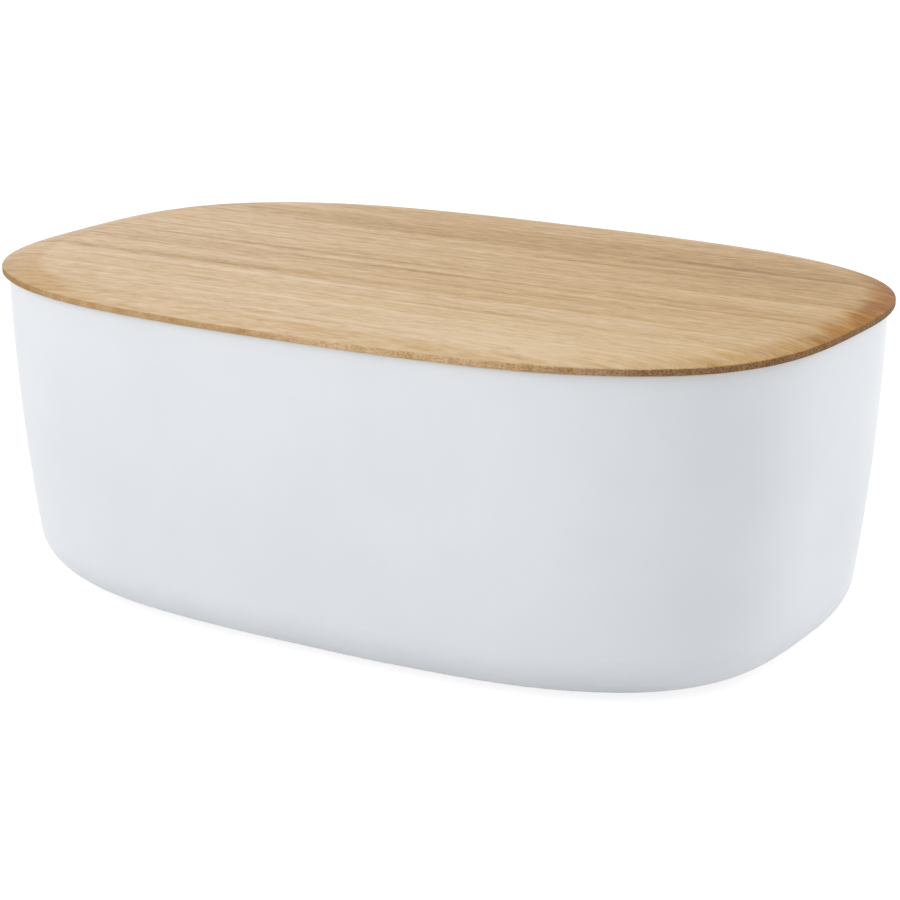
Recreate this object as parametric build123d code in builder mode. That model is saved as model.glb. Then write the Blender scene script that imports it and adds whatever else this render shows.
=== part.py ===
"""Bread box: an oval moulded tub on four soft feet, with a drop-on lid glued up from wooden staves.

Millimetres, +Z up. The origin is on the table, under the middle of the tub; +X runs along the length
and -Y is the front. Every side is a stack of lofts through plan outlines, and an outline is named by
its height and by its inset, which is how far it stands inside the tub's rim.
"""

import math
import os

from build123d import *

# Plan outline, shared by tub and lid: a superellipse, whose power 2 would be a plain ellipse
LID_LENGTH = 345.0
LID_WIDTH = 225.0
OVAL_POWER = 3.0
QUARTER_SPAN_COUNT = 7

# Tub: the wall is a long arc that leans in from the rim and turns into the base
RIM_HEIGHT = 124.0
LID_OVERHANG = 2.4
WALL = 3.0
FLOOR = 3.0
RIM_DRAFT_DEGREES = 1.0
WALL_BOW_RADIUS = 960.0
WALL_SECTION_COUNT = 4
BASE_RADIUS = 21.0
BASE_SECTION_COUNT = 6
RIM_ROUND = 0.8

# Feet: soft discs in shallow sockets, spread over the flat of the base
FOOT_RADIUS = 8.0
FOOT_THICKNESS = 2.0
FOOT_PROUD = 1.0
FOOT_ROUND = 0.5
FOOT_FIT = 0.1
FOOT_SPREAD_SHARES = (0.68, 0.62)

# Lid: an edge, a crown that falls away to it, and a step that drops into the tub
LID_EDGE = 2.5
LID_CROWN = 2.5
CROWN_WIDTH = 18.0
CROWN_SECTION_COUNT = 5
EDGE_ROUND = 0.6
STEP_DEPTH = 8.0
STEP_GAP = 1.2
STEP_CHAMFER = 1.0
STAVE_COUNT = 12

# Seal: a ring in a groove around the lid's step, clear of the tub's wall by its running gap
SEAL_HEIGHT = 3.0
SEAL_DROP = 2.5
SEAL_BITE = 2.0
SEAL_FIT = 0.1
SEAL_GAP = 0.3
LIP_SECTION_COUNT = 9

# Outlines in a small round, and how far a cutting shape runs past what it cuts
ROUND_SECTION_COUNT = 3
OVERRUN = 5.0

# Worked-out places
RIM_HALF_LENGTH = LID_LENGTH / 2 - LID_OVERHANG
RIM_HALF_WIDTH = LID_WIDTH / 2 - LID_OVERHANG
BASE_HEIGHT = FOOT_PROUD
FLOOR_HEIGHT = BASE_HEIGHT + FLOOR
TOP_HEIGHT = RIM_HEIGHT + LID_EDGE + LID_CROWN
STEP_HEIGHT = RIM_HEIGHT - STEP_DEPTH
SEAL_TOP = RIM_HEIGHT - SEAL_DROP
SEAL_BOTTOM = SEAL_TOP - SEAL_HEIGHT

# Middle of the wall's arc, as an inset and a height
RIM_DRAFT = math.radians(RIM_DRAFT_DEGREES)
BOW_INSET = WALL_BOW_RADIUS * math.cos(RIM_DRAFT)
BOW_HEIGHT = RIM_HEIGHT + WALL_BOW_RADIUS * math.sin(RIM_DRAFT)

# Directions from the middle of a round: level towards the outside is zero, and up is a quarter turn
LEVEL = 0.0
UP = math.pi / 2
DOWN = -math.pi / 2

os.makedirs("parts", exist_ok=True)


def save(part, name):
    """Labels one finished piece and writes it under its name."""
    part.label = name
    export_step(part, f"parts/{name}.step")


def spaced(low, high, count):
    """Evenly spaced values from low to high, both included."""
    return [low + (high - low) * step / (count - 1) for step in range(count)]


def oval_point(half_length, half_width, turn):
    """A point of the plan outline's first quarter, at an angle of the outline scaled to a unit square."""
    along, across = math.cos(turn), math.sin(turn)
    reach = (along**OVAL_POWER + across**OVAL_POWER) ** (-1 / OVAL_POWER)
    return half_length * along * reach, half_width * across * reach


def oval(inset, height):
    """One plan outline, as a flat face of four like quarters; a negative inset stands outside the rim."""
    half_length = RIM_HALF_LENGTH - inset
    half_width = RIM_HALF_WIDTH - inset
    turns = spaced(0, math.pi / 2, QUARTER_SPAN_COUNT + 1)
    quarter = [oval_point(half_length, half_width, turn) for turn in turns]
    quarter[-1] = (0, half_width)
    with BuildLine() as outline:
        Spline(*quarter, tangents=((0, 1), (-1, 0)))
        mirror(about=Plane.YZ)
        mirror(about=Plane.XZ)
    return Face(outline.wire()).moved(Location((0, 0, height)))


def round_sections(inset, height, radius, first, last, count):
    """Outlines along an arc in the side profile, given by its middle, its radius and two directions."""
    directions = spaced(first, last, count)
    return [oval(inset - radius * math.cos(turn), height + radius * math.sin(turn)) for turn in directions]


def wall_inset(height, depth=0):
    """Inset of the tub's wall at one height, at a depth inside its outer face."""
    return BOW_INSET - math.sqrt((WALL_BOW_RADIUS - depth) ** 2 - (BOW_HEIGHT - height) ** 2)


def base_turn(bottom, depth):
    """Middle, radius and meeting direction of the round that joins the wall's arc to a level bottom."""
    radius = BASE_RADIUS - depth
    height = bottom + radius
    reach = WALL_BOW_RADIUS - depth - radius
    meeting = -math.asin((BOW_HEIGHT - height) / reach)
    return BOW_INSET - reach * math.cos(meeting), height, radius, meeting


def tub_side(bottom, depth, rim_lean):
    """Stacks of outlines for one face of the tub, whose rim is rounded in (1) or flared out (-1)."""
    inset, height, radius, meeting = base_turn(bottom, depth)
    wall_top = RIM_HEIGHT - RIM_ROUND
    wall_bottom = height + radius * math.sin(meeting)
    wall_heights = spaced(wall_bottom, wall_top, WALL_SECTION_COUNT)
    rim_middle = wall_inset(wall_top, depth) + rim_lean * RIM_ROUND
    rim_level = LEVEL if rim_lean > 0 else math.pi
    return [
        round_sections(inset, height, radius, DOWN, meeting, BASE_SECTION_COUNT),
        [oval(wall_inset(level, depth), level) for level in wall_heights],
        round_sections(rim_middle, wall_top, RIM_ROUND, rim_level, UP, ROUND_SECTION_COUNT),
    ]


def lid_side():
    """Stacks of outlines for the lid's outside: lower round, edge, upper round and crown."""
    crown_radius = (CROWN_WIDTH**2 + LID_CROWN**2) / (2 * LID_CROWN)
    crown_inset = CROWN_WIDTH - LID_OVERHANG
    crown_height = TOP_HEIGHT - crown_radius
    meeting = math.acos((CROWN_WIDTH - EDGE_ROUND) / (crown_radius - EDGE_ROUND))
    low = RIM_HEIGHT + EDGE_ROUND
    high = crown_height + (crown_radius - EDGE_ROUND) * math.sin(meeting)
    inset = EDGE_ROUND - LID_OVERHANG
    return [
        round_sections(inset, low, EDGE_ROUND, DOWN, LEVEL, ROUND_SECTION_COUNT),
        [oval(-LID_OVERHANG, low), oval(-LID_OVERHANG, high)],
        round_sections(inset, high, EDGE_ROUND, LEVEL, meeting, ROUND_SECTION_COUNT),
        round_sections(crown_inset, crown_height, crown_radius, meeting, UP, CROWN_SECTION_COUNT),
    ]


def step_inset(height):
    """Inset of the side of the lid's step, which follows the tub's inner wall."""
    return wall_inset(height, WALL) + STEP_GAP


def step_side():
    """Outlines of the lid's step, from its chamfered foot up to the underside of the lid."""
    chamfer_top = STEP_HEIGHT + STEP_CHAMFER
    return [
        oval(step_inset(STEP_HEIGHT) + STEP_CHAMFER, STEP_HEIGHT),
        oval(step_inset(chamfer_top), chamfer_top),
        oval(step_inset(RIM_HEIGHT), RIM_HEIGHT),
    ]


def foot_places():
    """Middle of each foot, by name, as shares of the flat of the base."""
    flat_inset = base_turn(BASE_HEIGHT, 0)[0]
    along = (RIM_HALF_LENGTH - flat_inset) * FOOT_SPREAD_SHARES[0]
    across = (RIM_HALF_WIDTH - flat_inset) * FOOT_SPREAD_SHARES[1]
    return {
        "foot_front_left": (-along, -across),
        "foot_front_right": (along, -across),
        "foot_back_left": (-along, across),
        "foot_back_right": (along, across),
    }


# Tub: the outer form, less its cavity and the sockets of the feet
with BuildPart() as cavity:
    for stack in tub_side(FLOOR_HEIGHT, WALL, -1):
        loft(sections=stack)

with BuildPart() as tub:
    for stack in tub_side(BASE_HEIGHT, 0, 1):
        loft(sections=stack)
    add(cavity.part, mode=Mode.SUBTRACT)
    with Locations(*[(x, y, BASE_HEIGHT) for x, y in foot_places().values()]):
        Cylinder(
            FOOT_RADIUS + FOOT_FIT,
            FOOT_THICKNESS - FOOT_PROUD,
            align=(Align.CENTER, Align.CENTER, Align.MIN),
            mode=Mode.SUBTRACT,
        )
save(tub.part, "tub")

# Feet
for name, (x, y) in foot_places().items():
    with BuildPart() as foot:
        with Locations((x, y, 0)):
            Cylinder(FOOT_RADIUS, FOOT_THICKNESS, align=(Align.CENTER, Align.CENTER, Align.MIN))
        fillet(foot.edges().group_by(Axis.Z)[0], FOOT_ROUND)
    save(foot.part, name)

# Seal: a flat ring whose outside is a half-round lip towards the tub's wall
LIP_RADIUS = SEAL_HEIGHT / 2
LIP_INSET = wall_inset(SEAL_BOTTOM, WALL) + SEAL_GAP + LIP_RADIUS
GROOVE_INSET = step_inset(SEAL_TOP) + SEAL_BITE
with BuildPart() as seal:
    lip = round_sections(LIP_INSET, SEAL_BOTTOM + LIP_RADIUS, LIP_RADIUS, DOWN, UP, LIP_SECTION_COUNT)
    loft(sections=lip, ruled=True)
    extrude(oval(GROOVE_INSET - SEAL_FIT, SEAL_BOTTOM), amount=SEAL_HEIGHT, mode=Mode.SUBTRACT)
save(seal.part, "lid_seal")

# Lid blank: the glued board, shaped as one before it is divided into its staves
with BuildPart() as groove:
    extrude(oval(-LID_OVERHANG, SEAL_BOTTOM), amount=SEAL_HEIGHT)
    extrude(oval(GROOVE_INSET, SEAL_BOTTOM), amount=SEAL_HEIGHT, mode=Mode.SUBTRACT)

with BuildPart() as lid_blank:
    loft(sections=step_side(), ruled=True)
    for stack in lid_side():
        loft(sections=stack)
    add(groove.part, mode=Mode.SUBTRACT)

# Staves: equal strips of the blank, from the front to the back
STAVE_WIDTH = LID_WIDTH / STAVE_COUNT
for number in range(STAVE_COUNT):
    middle = -LID_WIDTH / 2 + STAVE_WIDTH * (number + 1 / 2)
    with BuildPart() as stave:
        add(lid_blank.part)
        with Locations((0, middle, STEP_HEIGHT)):
            Box(
                LID_LENGTH + OVERRUN,
                STAVE_WIDTH,
                TOP_HEIGHT - STEP_HEIGHT + OVERRUN,
                align=(Align.CENTER, Align.CENTER, Align.MIN),
                mode=Mode.INTERSECT,
            )
    save(stave.part, f"lid_stave_{number + 1:02d}")
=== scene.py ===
"""Looks of the oval bread box: a satin moulded tub and an oiled wooden lid, in a bright white studio.

Metres, +Z up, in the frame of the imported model: +X along the length, -Y towards the front.
"""

import math

import bpy
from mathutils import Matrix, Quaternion, Vector


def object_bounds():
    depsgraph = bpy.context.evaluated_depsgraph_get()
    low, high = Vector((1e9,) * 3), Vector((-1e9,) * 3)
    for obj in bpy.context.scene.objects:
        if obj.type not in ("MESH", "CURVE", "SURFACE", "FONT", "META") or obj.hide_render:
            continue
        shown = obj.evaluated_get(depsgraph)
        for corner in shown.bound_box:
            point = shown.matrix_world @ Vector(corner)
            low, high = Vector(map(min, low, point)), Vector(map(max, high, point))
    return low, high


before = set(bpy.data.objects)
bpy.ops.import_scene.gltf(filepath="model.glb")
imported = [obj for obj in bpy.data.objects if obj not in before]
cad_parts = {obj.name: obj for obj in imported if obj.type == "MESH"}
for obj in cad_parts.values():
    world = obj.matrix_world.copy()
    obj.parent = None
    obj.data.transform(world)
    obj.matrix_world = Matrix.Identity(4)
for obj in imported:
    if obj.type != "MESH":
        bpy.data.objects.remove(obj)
CAD_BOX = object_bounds()

# What the model gives: its lowest corner, middle and size, and the staves of its lid
CORNER = CAD_BOX[0]
MIDDLE = (CAD_BOX[0] + CAD_BOX[1]) / 2
SIZE = CAD_BOX[1] - CAD_BOX[0]
STAVES = [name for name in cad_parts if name.startswith("lid_stave")]
STAVE_WIDTH = SIZE.y / len(STAVES)

# Camera, fitted to the photograph's outlines: angles in degrees, places along its own axes
IMAGE_SIDE = 900
FOCAL_PIXELS = 2632.0
SENSOR_WIDTH = 36.0
VIEW_AZIMUTH = 31.35
VIEW_ELEVATION = 16.09
VIEW_ROLL = 0.13
VIEW_DISTANCE = 1.0291
AIM_ASIDE = 0.00495
AIM_UP = -0.00795

# Lights: azimuth and elevation in degrees, distance and side in metres, power in watts
LIGHTS = {
    "front_softbox": {"azimuth": -24.0, "elevation": 28.0, "distance": 1.7, "side": 1.4, "power": 10.0},
    "right_softbox": {"azimuth": 140.0, "elevation": 26.0, "distance": 1.7, "side": 1.3, "power": 12.0},
    "back_softbox": {"azimuth": 232.0, "elevation": 12.0, "distance": 1.7, "side": 1.0, "power": 1.8},
}
AMBIENT_COLOUR = (0.975, 1.0, 1.03, 1.0)
AMBIENT_STRENGTH = 0.68
BACKGROUND_COLOUR = (1.0, 1.0, 1.0, 1.0)
BACKGROUND_STRENGTH = 1.0

# Floor: a plain pale one for the light, lifted to white where the background is looked at
FLOOR_SIDE = 30.0
FLOOR_COLOUR = (0.78, 0.78, 0.78, 1.0)
FLOOR_SEEN_COLOUR = (0.35, 0.35, 0.35, 1.0)
FLOOR_SEEN_GLOW = 0.82

# Moulded materials: cool white plastic of the tub, and soft rubber of the seal and the feet
MOULDED = {
    "melamine": {
        "colours": ((0.806, 0.818, 0.839, 1.0), (0.781, 0.794, 0.817, 1.0)),
        "roughness": (0.38, 0.44),
        "gloss": {"Specular_IOR_Level": 0.5},
        "mottle_pitch": 0.045,
        "mottle_limits": (-0.25, 0.25),
        "skin_pitch": 0.0006,
        "skin_depth": 0.00002,
    },
    "silicone": {
        "colours": ((0.62, 0.62, 0.60, 1.0), (0.55, 0.55, 0.53, 1.0)),
        "roughness": (0.55, 0.68),
        "gloss": {"Specular_IOR_Level": 0.4},
        "mottle_pitch": 0.004,
        "mottle_limits": (-0.2, 0.2),
        "skin_pitch": 0.0004,
        "skin_depth": 0.00003,
    },
}

# Wood: colours by tone, gloss, and the board's tone from its front to its back, lighter at the front and
# darker towards the back
WOOD_COLOURS = (
    (0.00, (0.285, 0.154, 0.060, 1.0)),
    (0.35, (0.480, 0.294, 0.128, 1.0)),
    (0.60, (0.620, 0.410, 0.212, 1.0)),
    (1.00, (0.780, 0.588, 0.390, 1.0)),
)
WOOD_ROUGHNESS = (0.37, 0.28)
WOOD_GLOSS = {"Specular_IOR_Level": 0.05}
BOARD_TONE_SHARES = ((0.00, 0.80), (0.30, 0.74), (0.46, 0.65), (0.76, 0.60), (1.00, 0.62))

# Grain along X: pitches in metres along, across and through the board, and shares of the tone
STREAK_PITCH = (0.300, 0.0065, 0.0650)
GRAIN_LAYERS = {
    "broad": {"pitch": (0.300, 0.0200, 0.2000), "share": 0.62, "detail": 2.0},
    "streak": {"pitch": STREAK_PITCH, "share": 0.45, "detail": 2.0},
    "line": {"pitch": (0.140, 0.0028, 0.0280), "share": 0.25, "detail": 1.0},
    "dash": {"pitch": (0.030, 0.0022, 0.0110), "share": 0.20, "detail": 1.0},
    "speck": {"pitch": (0.007, 0.0018, 0.0070), "share": 0.55, "detail": 1.0},
    "fibre": {"pitch": (0.018, 0.0006, 0.0060), "share": 0.44, "detail": 2.0},
}
LINE_LIMITS = (-0.2, 0.2)
STAVE_SHIFT = (0.731, 0.0173)
WANDER_PITCH = (0.220, 0.0450, 0.4500)
WANDER_WIDTH = 0.006
FLECK_PITCH = (0.0065, 0.00045, 0.00450)
FLECK_LIMITS = (0.10, 0.24)
FLECK_SHARE = 0.20
FIBRE_DEPTH = 0.00009

# Streaks of the board: middle along and across, length, width, and change of tone
STREAK_SHARES = (
    (0.16, 0.400, 0.80, 0.700, -0.05),
    (0.78, 0.180, 0.90, 0.600, 0.16),
    (0.88, 0.800, 0.80, 0.500, -0.14),
    (0.74, 0.080, 0.50, 0.180, 0.12),
    (0.52, 0.812, 0.85, 0.120, -0.12),
    (0.44, 0.747, 0.40, 0.036, -0.14),
    (0.78, 0.768, 0.34, 0.020, -0.18),
    (0.64, 0.680, 0.36, 0.022, -0.20),
    (0.24, 0.570, 0.70, 0.030, -0.18),
    (0.80, 0.570, 0.60, 0.026, -0.15),
    (0.28, 0.504, 0.80, 0.030, -0.28),
    (0.38, 0.478, 0.65, 0.022, 0.20),
    (0.34, 0.458, 0.75, 0.018, -0.20),
    (0.50, 0.457, 0.20, 0.018, -0.16),
    (0.82, 0.484, 0.52, 0.036, -0.18),
    (0.86, 0.457, 0.44, 0.020, -0.16),
    (0.24, 0.334, 0.60, 0.050, -0.18),
    (0.41, 0.301, 0.48, 0.030, 0.15),
    (0.22, 0.280, 0.40, 0.022, -0.17),
    (0.37, 0.239, 0.12, 0.030, -0.14),
    (0.22, 0.175, 0.26, 0.018, -0.22),
)

# Golden zones, which lean towards the right end and the back
GOLD_PITCH = (0.400, 0.0160, 0.1600)
GOLD_LEAN = (0.6, 0.3, 0.0)
GOLD_LIMITS = (-0.26, 0.18)
GOLD_TINT = (0.92, 0.88, 0.76, 1.0)

# Cut fibres on the crown, their darkening partly painted shade: a golden slope at the left end, and a
# blotched brown rim at the right one, darkest as painted shade towards the right end and the back, where
# the crown turns from the lights
RIM_AND_SHADE_LEAN = (2.5, 12.0, 0.0)
CUT_ZONES = {
    # Golden slope of the left end: cut fibres, its darkening partly painted shade
    "slope": {
        "lean": (-3.5, 0.0, 0.0),
        "pitch": STREAK_PITCH,
        "ragged": 1.8,
        "limits": (0.035, 0.095),
        "tint": (0.88, 0.80, 0.61, 1.0),
    },
    # Brown rim of the right end, stronger towards the back: cut fibres and painted shade
    "rim_cut_and_shade": {
        "lean": RIM_AND_SHADE_LEAN,
        "pitch": (0.030, 0.0080, 0.0300),
        "ragged": 2.0,
        "limits": (0.17, 0.36),
        "tint": (0.90, 0.65, 0.20, 1.0),
    },
    # Dark blotches on the same rim: cut fibres and painted shade
    "rim_blotch_and_shade": {
        "lean": RIM_AND_SHADE_LEAN,
        "pitch": (0.014, 0.0080, 0.0200),
        "ragged": 8.0,
        "limits": (0.20, 0.46),
        "tint": (0.80, 0.74, 0.60, 1.0),
    },
}

# Upright edge: darkened partly as painted shade of a face turned from the light, golden on the left,
# paler on the right, and dark where it cuts the fibres, more so towards the right end as painted shade
UPRIGHT_LIMITS = (0.50, 0.90)
EDGE_SIDE_LIMITS = (-0.015, 0.015)
EDGE_TINTS_AND_SHADE = ((0.77, 0.68, 0.55, 1.0), (0.96, 0.91, 0.88, 1.0))
END_SHADE_LEAN = (3.0, 0.0, 0.0)
END_LIMITS = (0.0, 0.85)
END_TINT = (0.52, 0.46, 0.43, 1.0)
CUT_ROUGHNESS_RISE = 0.20

# Open pores of the crown and the edge
PORE_PITCH = (0.0011, 0.0006, 0.0006)
PORE_LIMITS = (-0.04, 0.10)
PORE_TINT = (0.62, 0.57, 0.52, 1.0)
SLOPE_PORE_LIMITS = (0.06, 0.18)
SLOPE_PORE_SHARE = 0.35
EDGE_PORE_SHARE = 0.45
EDGE_PORE_LEAN = (3.0, 0.0, 0.0)

# Node trees: the full range of a share, the noise's middle and detail, and a mix node's colour sockets
FULL_RANGE = (0.0, 1.0)
NOISE_MIDDLE = 0.5
NOISE_DETAIL = 2.0
MIX_COLOUR_INPUTS = (6, 7)
MIX_COLOUR_OUTPUT = 2


class Nodes:
    """A small helper for writing node trees: its calls add nodes and link or set their inputs."""

    def __init__(self, tree):
        self.tree = tree
        tree.nodes.clear()

    def add(self, kind, settings=None, **inputs):
        """Adds a node; settings are its own properties, and inputs are its sockets by name."""
        node = self.tree.nodes.new(kind)
        for name, value in (settings or {}).items():
            setattr(node, name, value)
        for name, value in inputs.items():
            self.put(node.inputs[name.replace("_", " ")], value)
        return node

    def put(self, socket, value):
        """Links an output to a socket, or sets the socket's own value."""
        if isinstance(value, bpy.types.NodeSocket):
            self.tree.links.new(value, socket)
        else:
            socket.default_value = value

    def operate(self, kind, operation, inputs):
        """The outputs of a node that does one operation on its inputs, given in order."""
        node = self.add(kind, {"operation": operation})
        for socket, value in zip(node.inputs, inputs):
            self.put(socket, value)
        return node.outputs

    def math(self, operation, *inputs):
        """A number worked out from numbers."""
        return self.operate("ShaderNodeMath", operation, inputs)["Value"]

    def vector(self, operation, *inputs):
        """A vector worked out from vectors."""
        return self.operate("ShaderNodeVectorMath", operation, inputs)["Vector"]

    def measure(self, operation, *inputs):
        """A number worked out from vectors."""
        return self.operate("ShaderNodeVectorMath", operation, inputs)["Value"]

    def split(self, vector):
        """The three parts of a vector."""
        return self.add("ShaderNodeSeparateXYZ", Vector=vector).outputs

    def lean(self, place, slope, start):
        """A value that changes steadily over the object, from its start at the origin."""
        return self.math("ADD", self.measure("DOT_PRODUCT", place, slope), start)

    def mix(self, share, first, second, blend="MIX"):
        """A colour mixed from two others."""
        node = self.add("ShaderNodeMix", {"data_type": "RGBA", "blend_type": blend})
        self.put(node.inputs["Factor"], share)
        for number, colour in zip(MIX_COLOUR_INPUTS, (first, second)):
            self.put(node.inputs[number], colour)
        return node.outputs[MIX_COLOUR_OUTPUT]

    def span(self, value, limits, results=FULL_RANGE):
        """A value eased from one result to the other as it goes from one limit to the other."""
        ends = {"From_Min": limits[0], "From_Max": limits[1], "To_Min": results[0], "To_Max": results[1]}
        node = self.add("ShaderNodeMapRange", {"interpolation_type": "SMOOTHSTEP"}, Value=value, **ends)
        return node.outputs[0]

    def ramp(self, share, stops):
        """A colour read from stops, each a place and a colour."""
        node = self.add("ShaderNodeValToRGB", Fac=share)
        elements = node.color_ramp.elements
        while len(elements) < len(stops):
            elements.new(FULL_RANGE[1])
        for element, (place, colour) in zip(elements, stops):
            element.position = place
            element.color = colour
        return node.outputs[0]

    def noise(self, place, pitch, detail=NOISE_DETAIL):
        """Noise about zero, with one pitch for all axes or one for each."""
        pitches = pitch if isinstance(pitch, tuple) else (pitch,) * 3
        scaled = self.vector("DIVIDE", place, pitches)
        texture = self.add("ShaderNodeTexNoise", Vector=scaled, Scale=1.0, Detail=detail)
        return self.math("SUBTRACT", texture.outputs[0], NOISE_MIDDLE)

    def background_ray(self):
        """One where the background is looked at, directly or in a reflection, and otherwise zero."""
        path = self.add("ShaderNodeLightPath").outputs
        reflected = self.math("MAXIMUM", path["Is Glossy Ray"], path["Is Transmission Ray"])
        return self.math("MAXIMUM", path["Is Camera Ray"], reflected)


def new_material(name):
    """An empty material and the helper for its tree."""
    material = bpy.data.materials.new(name)
    material.use_nodes = True
    return material, Nodes(material.node_tree)


def finish_material(nodes, colour, roughness, gloss, height, depth):
    """Adds the shader, with its plain gloss values and its bump from a height, to a material's tree."""
    bump = nodes.add("ShaderNodeBump", Height=height, Distance=depth, Strength=1.0)
    inputs = {"Base_Color": colour, "Roughness": roughness, "Normal": bump.outputs[0]}
    shader = nodes.add("ShaderNodeBsdfPrincipled", **inputs, **gloss)
    nodes.add("ShaderNodeOutputMaterial", Surface=shader.outputs[0])


def dress(node_name, material):
    """Puts a material on a CAD node."""
    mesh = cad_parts[node_name].data
    mesh.materials.clear()
    mesh.materials.append(material)


def moulded(name):
    """A moulded material with a faint mottle and a fine skin."""
    look = MOULDED[name]
    material, nodes = new_material(name)
    place = nodes.add("ShaderNodeTexCoord").outputs["Object"]
    mottle = nodes.span(nodes.noise(place, look["mottle_pitch"]), look["mottle_limits"])
    colour = nodes.mix(mottle, *look["colours"])
    roughness = nodes.span(mottle, FULL_RANGE, look["roughness"])
    skin = nodes.noise(place, look["skin_pitch"])
    finish_material(nodes, colour, roughness, look["gloss"], skin, look["skin_depth"])
    return material


def stave_place(nodes, place):
    """A place on the board, shifted stave by stave so that no two staves share their grain."""
    number = nodes.math("FLOOR", nodes.math("DIVIDE", nodes.split(place)["Y"], STAVE_WIDTH))
    along, across = (nodes.math("MULTIPLY", number, step) for step in STAVE_SHIFT)
    shift = nodes.add("ShaderNodeCombineXYZ", X=along, Y=across)
    return nodes.vector("ADD", place, shift.outputs[0])


def board_tone(nodes, place):
    """Tone of the board across its width, with its streaks, along lines that wander a little."""
    wander = nodes.math("MULTIPLY", nodes.noise(place, WANDER_PITCH), WANDER_WIDTH)
    wandering = nodes.vector("ADD", place, nodes.add("ShaderNodeCombineXYZ", Y=wander).outputs[0])
    from_front = nodes.math("SUBTRACT", nodes.split(wandering)["Y"], CORNER.y)
    stops = [(share, (tone, tone, tone, 1.0)) for share, tone in BOARD_TONE_SHARES]
    tone = nodes.ramp(nodes.math("DIVIDE", from_front, SIZE.y), stops)
    for along, across, length, width, change in STREAK_SHARES:
        middle = (CORNER.x + SIZE.x * along, CORNER.y + SIZE.y * across, CAD_BOX[1].z)
        reach = (SIZE.x * length / 2, SIZE.y * width / 2, SIZE.z)
        away = nodes.vector("DIVIDE", nodes.vector("SUBTRACT", wandering, middle), reach)
        streak = nodes.span(nodes.measure("LENGTH", away), FULL_RANGE, (change, 0.0))
        tone = nodes.math("ADD", tone, streak)
    return tone


def cut_and_shade_tints(nodes, place, shifted, cut, upright):
    """Tints of the cut fibres and the upright edge, partly painted shade, each with its share, and the
    share of open pores.
    """
    level = nodes.math("SUBTRACT", 1.0, upright)
    tints = []
    for zone in CUT_ZONES.values():
        ragged = nodes.math("MULTIPLY", nodes.noise(shifted, zone["pitch"]), zone["ragged"])
        uneven = nodes.math("ADD", nodes.lean(place, zone["lean"], 1.0), ragged)
        share = nodes.span(nodes.math("MULTIPLY", cut, uneven), zone["limits"])
        tints.append((nodes.math("MULTIPLY", share, level), zone["tint"]))

    # End grain, leaning towards the right end: dark cut fibres and painted shade
    end_cut_and_shade = nodes.math("MULTIPLY", cut, nodes.lean(place, END_SHADE_LEAN, 1.0))
    end_grain_and_shade = nodes.math("MULTIPLY", nodes.span(end_cut_and_shade, END_LIMITS), upright)
    # Tint of the upright edge: partly painted shade
    edge_tint_and_shade = nodes.mix(nodes.span(nodes.split(place)["X"], EDGE_SIDE_LIMITS), *EDGE_TINTS_AND_SHADE)

    slope_pores = nodes.span(cut, SLOPE_PORE_LIMITS, (0.0, SLOPE_PORE_SHARE))
    edge_pores = nodes.math("MULTIPLY", upright, nodes.lean(place, EDGE_PORE_LEAN, EDGE_PORE_SHARE))
    open_pores = nodes.math("MAXIMUM", end_grain_and_shade, nodes.math("MAXIMUM", slope_pores, edge_pores))
    pore = nodes.math("MULTIPLY", nodes.span(nodes.noise(shifted, PORE_PITCH), PORE_LIMITS), open_pores)
    return [*tints, (end_grain_and_shade, END_TINT), (upright, edge_tint_and_shade), (pore, PORE_TINT)], pore


def wood():
    """Oiled wood: bands, streaks and fibres along X, with tints and pores where the fibres are cut, the
    tints partly painted shade.
    """
    material, nodes = new_material("wood")
    coordinates = nodes.add("ShaderNodeTexCoord").outputs
    place = coordinates["Object"]
    shifted = stave_place(nodes, place)

    # Tone of the grain
    grain = {}
    tone = board_tone(nodes, place)
    for name, layer in GRAIN_LAYERS.items():
        grain[name] = nodes.noise(shifted, layer["pitch"], layer["detail"])
        tone = nodes.math("ADD", tone, nodes.math("MULTIPLY", grain[name], layer["share"]))
    fleck = nodes.span(nodes.noise(shifted, FLECK_PITCH), FLECK_LIMITS)
    tone = nodes.math("SUBTRACT", tone, nodes.math("MULTIPLY", fleck, FLECK_SHARE))

    # How far the surface cuts across the fibres, and how far it stands upright
    normal = nodes.split(coordinates["Normal"])
    cut = nodes.math("ABSOLUTE", normal["X"])
    upright = nodes.span(nodes.math("ABSOLUTE", normal["Z"]), UPRIGHT_LIMITS, (1.0, 0.0))

    # Colour of the tone, with its golden zones, and its cut fibres and upright edge, which are partly
    # painted shade
    gold = nodes.span(nodes.lean(place, GOLD_LEAN, nodes.noise(shifted, GOLD_PITCH)), GOLD_LIMITS)
    tints, pore = cut_and_shade_tints(nodes, place, shifted, cut, upright)
    colour = nodes.ramp(tone, WOOD_COLOURS)
    for share, tint in ((gold, GOLD_TINT), *tints):
        colour = nodes.mix(share, colour, tint, "MULTIPLY")

    # Gloss and relief
    rough_cut = nodes.math("MULTIPLY", upright, CUT_ROUGHNESS_RISE)
    roughness = nodes.math("ADD", nodes.span(grain["line"], LINE_LIMITS, WOOD_ROUGHNESS), rough_cut)
    height = nodes.math("SUBTRACT", grain["fibre"], nodes.math("MAXIMUM", fleck, pore))
    finish_material(nodes, colour, roughness, WOOD_GLOSS, height, FIBRE_DEPTH)
    return material


def direction(azimuth, elevation):
    """Unit vector from the object towards a place round it; azimuth 0 is the front."""
    turn, rise = math.radians(azimuth), math.radians(elevation)
    return Vector((math.sin(turn) * math.cos(rise), -math.cos(turn) * math.cos(rise), math.sin(rise)))


def add_object(name, data):
    """A new object in the scene."""
    thing = bpy.data.objects.new(name, data)
    bpy.context.scene.collection.objects.link(thing)
    return thing


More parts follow.
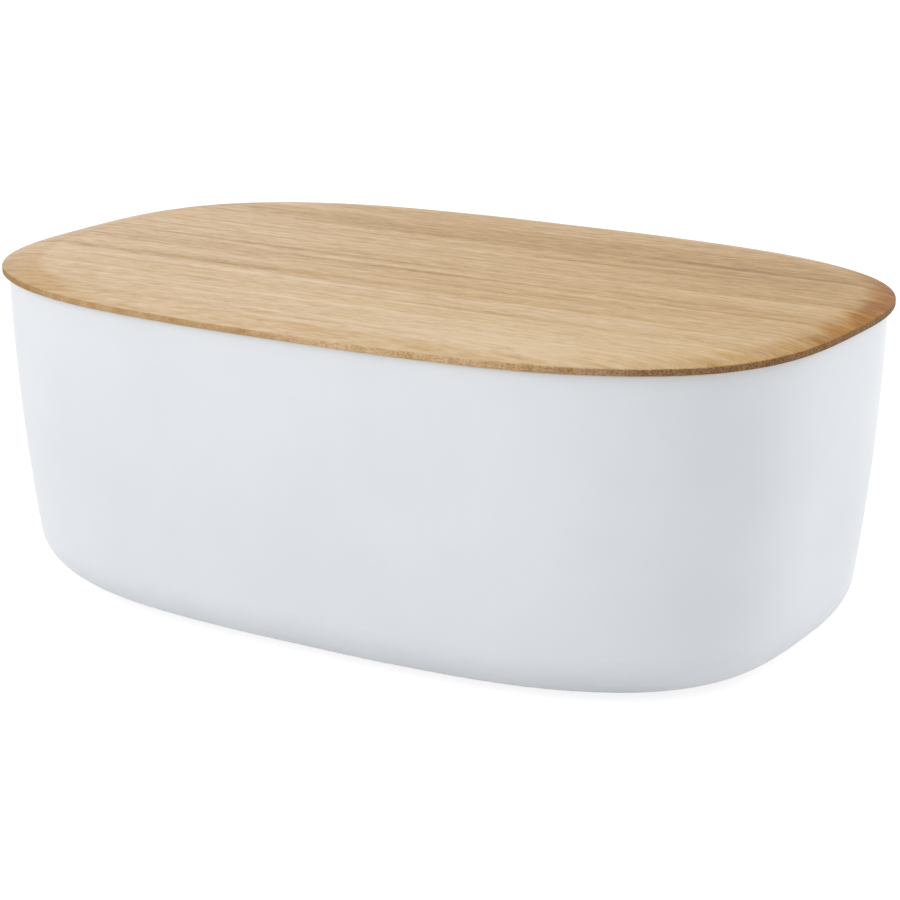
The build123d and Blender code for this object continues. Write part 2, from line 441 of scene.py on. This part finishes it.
def add_camera():
    """The camera at the photograph's viewing angle."""
    roll = Quaternion((0, 0, 1), math.radians(VIEW_ROLL))
    turn = direction(VIEW_AZIMUTH, VIEW_ELEVATION).to_track_quat("Z", "Y") @ roll
    data = bpy.data.cameras.new("camera")
    data.sensor_width = SENSOR_WIDTH
    data.lens = FOCAL_PIXELS * SENSOR_WIDTH / IMAGE_SIDE
    camera = add_object("camera", data)
    camera.location = MIDDLE + turn @ Vector((AIM_ASIDE, AIM_UP, VIEW_DISTANCE))
    camera.rotation_euler = turn.to_euler()
    bpy.context.scene.camera = camera


def add_lights():
    """Large soft lights round the object."""
    for name, light in LIGHTS.items():
        data = bpy.data.lights.new(name, "AREA")
        data.shape = "SQUARE"
        data.size = light["side"]
        data.energy = light["power"]
        lamp = add_object(name, data)
        towards = direction(light["azimuth"], light["elevation"])
        lamp.location = MIDDLE + towards * light["distance"]
        lamp.rotation_euler = towards.to_track_quat("Z", "Y").to_euler()


def choose(nodes, plain, seen):
    """A shader that is the plain one for light, and the other where the background is looked at."""
    choice = nodes.add("ShaderNodeMixShader", Fac=nodes.background_ray())
    nodes.put(choice.inputs[1], plain.outputs[0])
    nodes.put(choice.inputs[2], seen.outputs[0])
    return choice.outputs[0]


def add_world():
    """White where the background is looked at, and a plain level of soft light elsewhere."""
    world = bpy.data.worlds.new("studio")
    world.use_nodes = True
    nodes = Nodes(world.node_tree)
    light = nodes.add("ShaderNodeBackground", Color=AMBIENT_COLOUR, Strength=AMBIENT_STRENGTH)
    white = nodes.add("ShaderNodeBackground", Color=BACKGROUND_COLOUR, Strength=BACKGROUND_STRENGTH)
    nodes.add("ShaderNodeOutputWorld", Surface=choose(nodes, light, white))
    bpy.context.scene.world = world


def add_floor():
    """A pale floor that reads as white and keeps the object's shadow."""
    half = FLOOR_SIDE / 2
    corners = [(-half, -half, 0), (half, -half, 0), (half, half, 0), (-half, half, 0)]
    mesh = bpy.data.meshes.new("floor")
    mesh.from_pydata(corners, [], [range(len(corners))])
    material, nodes = new_material("floor")
    plain = nodes.add("ShaderNodeBsdfDiffuse", Color=FLOOR_COLOUR)
    seen = nodes.add("ShaderNodeAddShader")
    nodes.put(seen.inputs[0], nodes.add("ShaderNodeBsdfDiffuse", Color=FLOOR_SEEN_COLOUR).outputs[0])
    nodes.put(seen.inputs[1], nodes.add("ShaderNodeEmission", Strength=FLOOR_SEEN_GLOW).outputs[0])
    nodes.add("ShaderNodeOutputMaterial", Surface=choose(nodes, plain, seen))
    mesh.materials.append(material)
    add_object("floor", mesh)


bpy.context.scene.view_settings.view_transform = "Standard"
add_camera()
add_lights()
add_world()
add_floor()

# Every node gets its material: the tub, the staves, and the rest, which is soft rubber
tub_material, wood_material, soft_material = moulded("melamine"), wood(), moulded("silicone")
for node_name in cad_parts:
    if node_name == "tub":
        dress(node_name, tub_material)
    elif node_name in STAVES:
        dress(node_name, wood_material)
    else:
        dress(node_name, soft_material)
